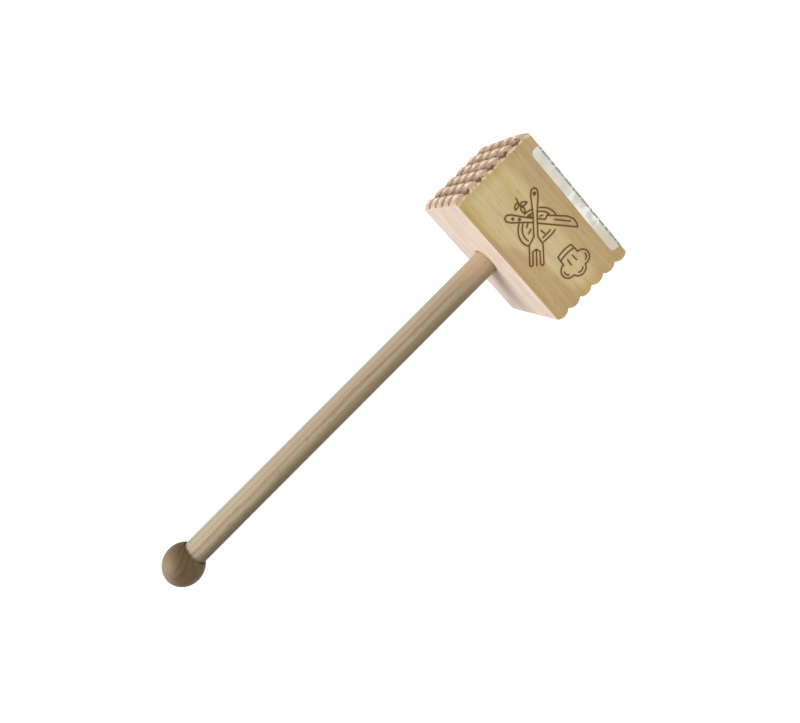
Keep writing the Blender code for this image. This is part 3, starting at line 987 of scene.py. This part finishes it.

# %% Head: painted shade in the valleys, darkest where two of them cross
VALLEY_SHADE_TO_MM = 2.7
cross_layer = add(tree, "ShaderNodeAttribute", {"attribute_name": "crossing_mm"})
valley_layer = add(tree, "ShaderNodeAttribute", {"attribute_name": "valley_mm"})
breakup_mm = add(tree, "ShaderNodeMath", {"operation": "MULTIPLY_ADD"}, {1: 5.0, 2: -2.5},
               {0: (breakup_noise, "Fac")})
valley_off = add(tree, "ShaderNodeMath", {"operation": "ADD"},
                 links={0: (valley_layer, "Fac"), 1: (breakup_mm, 0)})
cross_off = add(tree, "ShaderNodeMath", {"operation": "ADD"},
                links={0: (cross_layer, "Fac"), 1: (breakup_mm, 0)})
valley = add(tree, "ShaderNodeMapRange", {"interpolation_type": "SMOOTHSTEP"},
             {"From Min": VALLEY_SHADE_TO_MM, "From Max": 0.0, "To Max": 0.68}, {"Value": (valley_off, 0)})
crossing = add(tree, "ShaderNodeMapRange", {"interpolation_type": "SMOOTHSTEP"},
               {"From Min": 2.4, "From Max": 1.0, "To Max": 0.97}, {"Value": (cross_off, 0)})
notch_layer = add(tree, "ShaderNodeAttribute", {"attribute_name": "notch_mm"})
notch = add(tree, "ShaderNodeMapRange", {"interpolation_type": "SMOOTHSTEP"},
            {"From Min": 1.7, "From Max": 0.6, "To Max": 0.85}, {"Value": (notch_layer, "Fac")})
in_pits = add(tree, "ShaderNodeMath", {"operation": "MAXIMUM"},
              links={0: (notch, "Result"), 1: (crossing, "Result")})
painted_pit_shade = add(tree, "ShaderNodeMath", {"operation": "MAXIMUM"},
             links={0: (valley, "Result"), 1: (in_pits, 0)})
# Painted shade: the valleys, their crossings and the notches at the front edge are darkened to a deep brown
# where the grooves hold shade.
pit_shaded = add(tree, "ShaderNodeMix", {"data_type": "RGBA"}, {7: linear("#4b3016")},
               {0: (painted_pit_shade, "Value"), 6: (highlighted, 2)})
print("valleys browned to", VALLEY_SHADE_TO_MM, "mm from their middle")

# %% Head: glue round the bore, and the burnt lines
LINE_OUTER_MM = 0.62
LINE_INNER_MM = 0.32
rim_layer = add(tree, "ShaderNodeAttribute", {"attribute_name": "bore_rim_mm"})
rim = add(tree, "ShaderNodeMapRange", {"interpolation_type": "SMOOTHSTEP"},
          {"From Min": 2.2, "From Max": 0.2, "To Max": 0.5}, {"Value": (rim_layer, "Fac")})
glued = add(tree, "ShaderNodeMix", {"data_type": "RGBA"}, {7: linear("#b98f70")},
            {0: (rim, "Result"), 6: (pit_shaded, 2)})
burn_layer = add(tree, "ShaderNodeAttribute", {"attribute_name": "burn_mm"})
halo = add(tree, "ShaderNodeMapRange", {"interpolation_type": "SMOOTHSTEP"},
           {"From Min": 1.5, "From Max": 0.5, "To Max": 0.3}, {"Value": (burn_layer, "Fac")})
line = add(tree, "ShaderNodeMapRange", {"interpolation_type": "SMOOTHSTEP"},
           {"From Min": LINE_OUTER_MM, "From Max": LINE_INNER_MM}, {"Value": (burn_layer, "Fac")})
toasted = add(tree, "ShaderNodeMix", {"data_type": "RGBA"}, {7: linear("#a07a48")},
              {0: (halo, "Result"), 6: (glued, 2)})
burnt = add(tree, "ShaderNodeMix", {"data_type": "RGBA"}, {7: linear("#573a12")},
            {0: (line, "Result"), 6: (toasted, 2)})
print("burnt lines are about", LINE_OUTER_MM + LINE_INNER_MM, "mm wide")

# %% Head: its surface, with crumbs standing up where the teeth are torn
relief = add(tree, "ShaderNodeMix", {"data_type": "FLOAT"}, {0: 0.4}, {2: fibres, 3: flecks})
torn_height = add(tree, "ShaderNodeMath", {"operation": "MULTIPLY"},
                  links={0: (crumbs, "Fac"), 1: (on_tooth, 0)})
torn_relief = add(tree, "ShaderNodeMath", {"operation": "MULTIPLY_ADD"}, {1: 2.5},
                  {0: (torn_height, 0), 2: (relief, 0)})
sand_wood(tree, shader, (burnt, 2), streaks, (0.5, 0.68), (torn_relief, 0), 0.35)
print("head finish has", len(tree.nodes), "nodes")

# %% [markdown]
# ### Beech of the handle
# The same wood off a rounding machine, sanded along its length and handled: a little darker and greyer than
# the head, with long pinkish and olive streaks where the dowel cuts through the rings. One side of it is
# darkened as painted shade and the other is lightened and greyed as a painted sheen, and glue has tinted
# the last stretch before the head. Sanding has left it a little smoother than the head, so it catches a
# soft long highlight.

# %% Handle: rings, streaks, fibres and flecks
tree, shader = new_material("beech dowel, rounded and sanded", handle)
shader.inputs["Specular IOR Level"].default_value = 0.35
place, rings, streaks, fibres, flecks = grain(tree, (0, 0, math.pi / 2), (12 * MM, 0, -55 * MM), 3.4, 0.02)
base = add(tree, "ShaderNodeValToRGB", links={"Fac": rings},
           stops=[(0.1, "#ab9e88"), (0.5, "#a2957c"), (0.95, "#95876d")])
colour = lay_grain(tree, (base, "Color"), (
    (streaks, [(0.3, "#e3cdc0"), (0.45, "#f6eee2"), (0.6, "#ffffff")], 0.9),
    (fibres, [(0.3, "#e0d6c8"), (0.6, "#ffffff")], 0.8),
    (flecks, [(0.6, "#ffffff"), (0.74, "#c9ae8f")], 0.6),
))
print("with its grain the handle takes", len(tree.nodes), "nodes")

# %% Handle: painted shade on one side, and a painted sheen on the other
SHADE_FULL_MM = 6.2          # off the axis, where the painted shade is at its darkest
where = add(tree, "ShaderNodeSeparateXYZ", links={"Vector": (place, "Object")})
shade_across = add(tree, "ShaderNodeMapRange", {"interpolation_type": "SMOOTHSTEP"},
            {"From Min": 0.0, "From Max": SHADE_FULL_MM * MM, "To Max": 0.95}, {"Value": (where, "Y")})
shade_along = add(tree, "ShaderNodeMapRange",
                   values={"From Min": 140 * MM, "From Max": 220 * MM, "To Min": 0.72},
                   links={"Value": (where, "X")})
shade_share = add(tree, "ShaderNodeMath", {"operation": "MULTIPLY"},
                  links={0: (shade_across, "Result"), 1: (shade_along, "Result")})
# Painted shade on the side away from the lamp; the opposite side gets a pale grey painted sheen.
shaded_side = add(tree, "ShaderNodeMix", {"data_type": "RGBA"}, {7: linear("#52462f")},
                {0: (shade_share, 0), 6: colour})
sheen_side = add(tree, "ShaderNodeMapRange", {"interpolation_type": "SMOOTHSTEP"},
              {"From Min": -3 * MM, "From Max": -7.8 * MM, "To Max": 0.6}, {"Value": (where, "Y")})
shade_and_sheen = add(tree, "ShaderNodeMix", {"data_type": "RGBA"}, {7: linear("#aba08f")},
                {0: (sheen_side, "Result"), 6: (shaded_side, 2)})
print("heartwood is darkest", SHADE_FULL_MM, "mm to one side of the axis")

# %% Handle: browner towards the head, and ruddy with glue just before it
towards_head = add(tree, "ShaderNodeMapRange",
                   values={"From Min": 260 * MM, "From Max": 60 * MM, "To Max": 0.3},
                   links={"Value": (where, "X")})
browned = add(tree, "ShaderNodeMix", {"data_type": "RGBA"}, {7: linear("#8f7956")},
              {0: (towards_head, "Result"), 6: (shade_and_sheen, 2)})
near_head = add(tree, "ShaderNodeMapRange", {"interpolation_type": "SMOOTHSTEP"},
                {"From Min": 60 * MM, "From Max": 29 * MM, "To Max": 0.5}, {"Value": (where, "X")})
ruddy = add(tree, "ShaderNodeMix", {"data_type": "RGBA"}, {7: linear("#b6977a")},
            {0: (near_head, "Result"), 6: (browned, 2)})
relief = add(tree, "ShaderNodeMix", {"data_type": "FLOAT"}, {0: 0.4}, {2: fibres, 3: flecks})
sand_wood(tree, shader, (ruddy, 2), streaks, (0.42, 0.6), (relief, 0), 0.35)
print("handle finish has", len(tree.nodes), "nodes")

# %% [markdown]
# ### Stained ball
# The ball comes from another turning and was dipped in a brown stain, which sinks in most on its end grain.
# The side towards the lamp is made paler as painted light. The stain dulls the wood, and only a faint gloss
# is left.

# %% Ball: stain over the grain
tree, shader = new_material("turned ball, brown stain", ball)
shader.inputs["Specular IOR Level"].default_value = 0.3
place, rings, streaks, fibres, flecks = grain(tree, (0, 0, math.pi / 2), (4 * MM, 0, -36 * MM), 2.4, 0.08)
base = add(tree, "ShaderNodeValToRGB", links={"Fac": rings},
           stops=[(0.1, "#604b2c"), (0.6, "#5c4829"), (0.95, "#584325")])
colour = lay_grain(tree, (base, "Color"), (
    (fibres, [(0.3, "#ddd2c4"), (0.62, "#ffffff")], 0.45),
    (flecks, [(0.6, "#ffffff"), (0.74, "#b89c7c")], 0.3),
))
print("with its grain the ball takes", len(tree.nodes), "nodes")

# %% Ball: painted light on the side towards the lamp
from_middle = add(tree, "ShaderNodeVectorMath", {"operation": "SUBTRACT"}, {1: (ball_x, 0.0, AXIS_Z)},
                  {0: (place, "Object")})
towards = add(tree, "ShaderNodeVectorMath", {"operation": "DOT_PRODUCT"}, {1: (0.62, -0.76, 0.18)},
              {0: (from_middle, "Vector")})
# Painted light: the ball is paler on the side that faces the lamp.
lit_side_share = add(tree, "ShaderNodeMapRange", {"interpolation_type": "SMOOTHSTEP"},
            {"From Min": 0.2 * BALL_RADIUS, "From Max": 1.1 * BALL_RADIUS, "To Max": 0.85},
            {"Value": (towards, "Value")})
lit_side_painted = add(tree, "ShaderNodeMix", {"data_type": "RGBA"}, {7: linear("#8a7259")},
            {0: (lit_side_share, "Result"), 6: colour})
sand_wood(tree, shader, (lit_side_painted, 2), streaks, (0.45, 0.65), fibres, 0.3)
print("ball finish has", len(tree.nodes), "nodes")

# %% [markdown]
# ### Printed film
# White polypropylene film, calendered, so it is smooth and glossy with a clear coat's sharp shine. It has
# yellowed a little towards one end, and a patch in its middle is brightened as a painted glint. A row of
# small grey marks runs along the fold, and the far side carries plain grey bars in place of words. Bars
# could be thin strips of mesh, but print has no height, so they are drawn from the film's own two
# distances.

# %% Film: white, aged towards one end
CLOUD = 6.25 * MM            # of uneven whiteness
tree, shader = new_material("polypropylene film, printed grey", label)
shader.inputs["Roughness"].default_value = 0.22
shader.inputs["Coat Weight"].default_value = 0.4
shader.inputs["Coat Roughness"].default_value = 0.08
place = add(tree, "ShaderNodeTexCoord")
cloud = add(tree, "ShaderNodeTexNoise", values={"Scale": 1 / CLOUD, "Detail": 2},
            links={"Vector": (place, "Object")})
white = add(tree, "ShaderNodeValToRGB", links={"Fac": (cloud, "Fac")},
            stops=[(0.35, "#c5c2b6"), (0.65, "#d1cec3")])
across_layer = add(tree, "ShaderNodeAttribute", {"attribute_name": "across_mm"})
along_layer = add(tree, "ShaderNodeAttribute", {"attribute_name": "along_mm"})
aged = add(tree, "ShaderNodeMapRange", {"interpolation_type": "SMOOTHSTEP"},
           {"From Min": 8.0, "From Max": 38.0, "To Max": 0.7}, {"Value": (along_layer, "Fac")})
film_colour = add(tree, "ShaderNodeMix", {"data_type": "RGBA"}, {7: linear("#bdb199")},
                  {0: (aged, "Result"), 6: (white, "Color")})
print("white patches every", round(CLOUD * 1000, 1), "mm or so")

# %% Film: a painted glint on both sides of one place
GLINT_AT_MM = 7.0           # past the film's middle
GLINT_HALF_MM = 12.0
glint = add(tree, "ShaderNodeMath", {"operation": "COMPARE"}, {1: GLINT_AT_MM, 2: GLINT_HALF_MM},
             {0: (along_layer, "Fac")})
glint_patches = add(tree, "ShaderNodeMapRange", {"interpolation_type": "SMOOTHSTEP"},
                  {"From Min": 0.42, "From Max": 0.6, "To Max": 0.8}, {"Value": (cloud, "Fac")})
glint_share = add(tree, "ShaderNodeMath", {"operation": "MULTIPLY"},
             links={0: (glint, 0), 1: (glint_patches, "Result")})
# Painted glint: patches near the middle are mixed towards near-white.
film_with_glint = add(tree, "ShaderNodeMix", {"data_type": "RGBA"}, {7: linear("#e6e6e2")},
                 {0: (glint_share, 0), 6: (film_colour, 2)})
print("rubbed over", 2 * GLINT_HALF_MM, "mm")

# %% Film: the broken row of marks along the fold
MARK_MM = 2.0                # length of a mark and its gap
row = add(tree, "ShaderNodeMath", {"operation": "COMPARE"}, {1: 0.5, 2: 0.9}, {0: (across_layer, "Fac")})
marks = add(tree, "ShaderNodeTexNoise", {"noise_dimensions": "2D"}, {"Scale": 1 / MARK_MM, "Detail": 2})
marks_place = add(tree, "ShaderNodeCombineXYZ",
                  links={"X": (along_layer, "Fac"), "Y": (across_layer, "Fac")})
tree.links.new(marks_place.outputs["Vector"], marks.inputs["Vector"])
mark_on = add(tree, "ShaderNodeMath", {"operation": "GREATER_THAN"}, {1: 0.44}, {0: (marks, "Fac")})
marked = add(tree, "ShaderNodeMath", {"operation": "MULTIPLY"}, links={0: (row, 0), 1: (mark_on, 0)})
print("marks every", MARK_MM, "mm or so")

# %% Film: plain bars on the far side, broken like lines of words
LINE_SPACING_MM = 3.4
WORD_MM = 2.7
line_number = add(tree, "ShaderNodeMath", {"operation": "MULTIPLY"}, {1: 1 / LINE_SPACING_MM},
                  {0: (across_layer, "Fac")})
whole_line = add(tree, "ShaderNodeMath", {"operation": "FLOOR"}, links={0: (line_number, 0)})
in_line = add(tree, "ShaderNodeMath", {"operation": "FRACT"}, links={0: (line_number, 0)})
bar = add(tree, "ShaderNodeMath", {"operation": "COMPARE"}, {1: 0.5, 2: 0.19}, {0: (in_line, 0)})
words_place = add(tree, "ShaderNodeCombineXYZ", links={"X": (along_layer, "Fac"), "Y": (whole_line, 0)})
words = add(tree, "ShaderNodeTexNoise", {"noise_dimensions": "2D"}, {"Scale": 1 / WORD_MM, "Detail": 0},
            {"Vector": (words_place, "Vector")})
word = add(tree, "ShaderNodeMath", {"operation": "GREATER_THAN"}, {1: 0.43}, {0: (words, "Fac")})

# %% Film: where the bars end, and the ink
BARS_ACROSS_MM = (18.5, 11.8)     # middle of the block of bars from the fold, and half its size
BARS_ALONG_MM = (0.0, 33.0)
bars_across = add(tree, "ShaderNodeMath", {"operation": "COMPARE"},
                  {1: BARS_ACROSS_MM[0], 2: BARS_ACROSS_MM[1]}, {0: (across_layer, "Fac")})
bars_along = add(tree, "ShaderNodeMath", {"operation": "COMPARE"},
                 {1: BARS_ALONG_MM[0], 2: BARS_ALONG_MM[1]}, {0: (along_layer, "Fac")})
barred = (bar, 0)
for limit in (word, bars_across, bars_along):
    both = add(tree, "ShaderNodeMath", {"operation": "MULTIPLY"}, links={0: barred, 1: (limit, 0)})
    barred = (both, 0)
inked = add(tree, "ShaderNodeMath", {"operation": "MAXIMUM"}, links={0: (marked, 0), 1: barred})
ink = add(tree, "ShaderNodeMath", {"operation": "MULTIPLY"}, {1: 0.85}, {0: (inked, 0)})
printed = add(tree, "ShaderNodeMix", {"data_type": "RGBA"}, {7: linear("#6f766c")},
              {0: (ink, 0), 6: (film_with_glint, 2)})
tree.links.new(printed.outputs[2], shader.inputs["Base Color"])

# %% Film: fine creases under its gloss
CREASE = 2.38 * MM
creases = add(tree, "ShaderNodeTexNoise", values={"Scale": 1 / CREASE, "Detail": 2},
              links={"Vector": (place, "Object")})
bump = add(tree, "ShaderNodeBump", values={"Strength": 0.3, "Distance": 0.4 * MM},
           links={"Height": (creases, "Fac")})
tree.links.new(bump.outputs["Normal"], shader.inputs["Normal"])
print("film finish has", len(tree.nodes), "nodes")

# %% [markdown]
# ## Floor, light and camera
# The mallet lies on the back of its head on a pale sweep that is lit from below, as on a light table,
# so that the ground stays white and the shadows stay faint. A flat plane would show its edge in a low
# view, so the floor runs out and up like a studio sweep on all sides. One broad lamp stands low on the
# side of the teeth and the handle, a weak one opposite, and the rest is soft light from above.

# %% Floor and sweep, in metres
FLAT_RADIUS = 1.6            # the floor is flat out to here
SWEEP_RADIUS = 1.0           # and then turns up by a quarter circle
WALL_HEIGHT = 4.0
FLOOR_DROP = 0.1 * MM        # under the mallet, so that the two don't share a plane
sweep_turn = np.linspace(0, math.pi / 2, 13)
quarter = SWEEP_RADIUS * np.stack([np.sin(sweep_turn), 1 - np.cos(sweep_turn)], axis=1)
sweep_profile = np.concatenate([
    [(0.6, 0.0), (FLAT_RADIUS, 0.0)],
    (quarter + (FLAT_RADIUS, 0.0))[1:],
    [(FLAT_RADIUS + SWEEP_RADIUS, WALL_HEIGHT)],
])
sweep_round = np.linspace(0, 2 * math.pi, 96, endpoint=False)[None, :]
sweep_rings = np.stack([
    sweep_profile[:, :1] * np.cos(sweep_round),
    sweep_profile[:, :1] * np.sin(sweep_round),
    sweep_profile[:, 1:] - FLOOR_DROP + 0 * sweep_round,
], axis=-1)
sweep_sheet = np.arange(sweep_rings[..., 0].size).reshape(sweep_rings.shape[:2])
sweep_closed = np.concatenate([sweep_sheet, sweep_sheet[:, :1]], axis=1)
sweep_faces = quads(sweep_closed).tolist() + [sweep_sheet[0].tolist()]
floor_mesh = bpy.data.meshes.new("studio_sweep")
floor_mesh.from_pydata(sweep_rings.reshape(-1, 3).tolist(), [], sweep_faces)
floor_mesh.shade_smooth()
floor = bpy.data.objects.new("studio_sweep", floor_mesh)
bpy.context.scene.collection.objects.link(floor)
floor.visible_diffuse = False
floor.visible_shadow = False
print("floor looks along", np.round(floor_mesh.polygons[0].normal, 2),
      np.round(floor_mesh.polygons[-1].normal, 2))

# %% The light table's own finish
TABLE_GLOW = 0.78
tree, shader = new_material("pale light table", floor)
shader.inputs["Base Color"].default_value = linear("#a0a0a0")
shader.inputs["Roughness"].default_value = 0.9
shader.inputs["Specular IOR Level"].default_value = 0.0
shader.inputs["Emission Color"].default_value = (1, 1, 1, 1)
shader.inputs["Emission Strength"].default_value = TABLE_GLOW
print("the table glows at", TABLE_GLOW)

# %% Lamps
KEY_SPREAD = 40              # degrees across, as wide as a large soft box seen from the mallet
FILL_SPREAD = 70
lamps = (
    ("key", Vector((0.68, -0.68, 0.22)), 3.2, KEY_SPREAD, (1.0, 0.985, 0.965)),
    ("fill", Vector((-0.95, 0.18, 0.2)), 1.2, FILL_SPREAD, (1.0, 0.99, 0.98)),
)
for name, comes_from, strength, spread, tone in lamps:
    lamp = bpy.data.lights.new(name, "SUN")
    lamp.energy = strength
    lamp.angle = math.radians(spread)
    lamp.color = tone
    holder = bpy.data.objects.new(name, lamp)
    holder.location = comes_from
    holder.rotation_euler = comes_from.to_track_quat("Z", "Y").to_euler()
    bpy.context.scene.collection.objects.link(holder)
    print(name, "lamp, strength", strength, "and", spread, "degrees across")

# %% Soft light from above
SOFT_FROM = Vector((0.15, -0.2, 0.97))
world = bpy.data.worlds.new("studio")
bpy.context.scene.world = world
world.use_nodes = True
direction = add(world.node_tree, "ShaderNodeTexCoord")
aim = add(world.node_tree, "ShaderNodeVectorMath", {"operation": "DOT_PRODUCT"}, {1: tuple(SOFT_FROM)},
          {0: (direction, "Generated")})
soft_light = add(world.node_tree, "ShaderNodeMapRange",
                 values={"From Min": -0.6, "From Max": 1.0, "To Min": 0.04, "To Max": 1.0},
                 links={"Value": (aim, "Value")})
background = world.node_tree.nodes["Background"]
background.inputs["Color"].default_value = linear("#ffffff")
world.node_tree.links.new(soft_light.outputs["Result"], background.inputs["Strength"])
print("soft light comes from", np.round(SOFT_FROM, 2))

# %% [markdown]
# The camera looks down at the front, a little from the toothed side, with the handle running to the
# lower left. It is placed by its own three directions, which hold the roll as well as the aim.

# %% Camera
camera_data = bpy.data.cameras.new("camera")
camera_data.sensor_width = 36
camera_data.lens = 28.9
camera_data.shift_x = 0.0625
camera_data.shift_y = -0.0369
camera_data.clip_start = 0.01
camera = bpy.data.objects.new("camera", camera_data)
bpy.context.scene.collection.objects.link(camera)
camera_right = Vector((-0.70693, 0.68655, 0.16999))
camera_up = Vector((-0.70708, -0.69180, -0.14648))
camera_back = Vector((0.01703, -0.22374, 0.97450))
turn = Matrix((camera_right, camera_up, camera_back)).transposed()
camera_place = Vector((0.12421, -0.11447, 0.40396))
camera.matrix_world = Matrix.Translation(camera_place) @ turn.to_4x4()
bpy.context.scene.camera = camera
bpy.context.scene.view_settings.view_transform = "Standard"
print("camera", round(camera_place.length * 1000), "mm from the middle of the head's back")
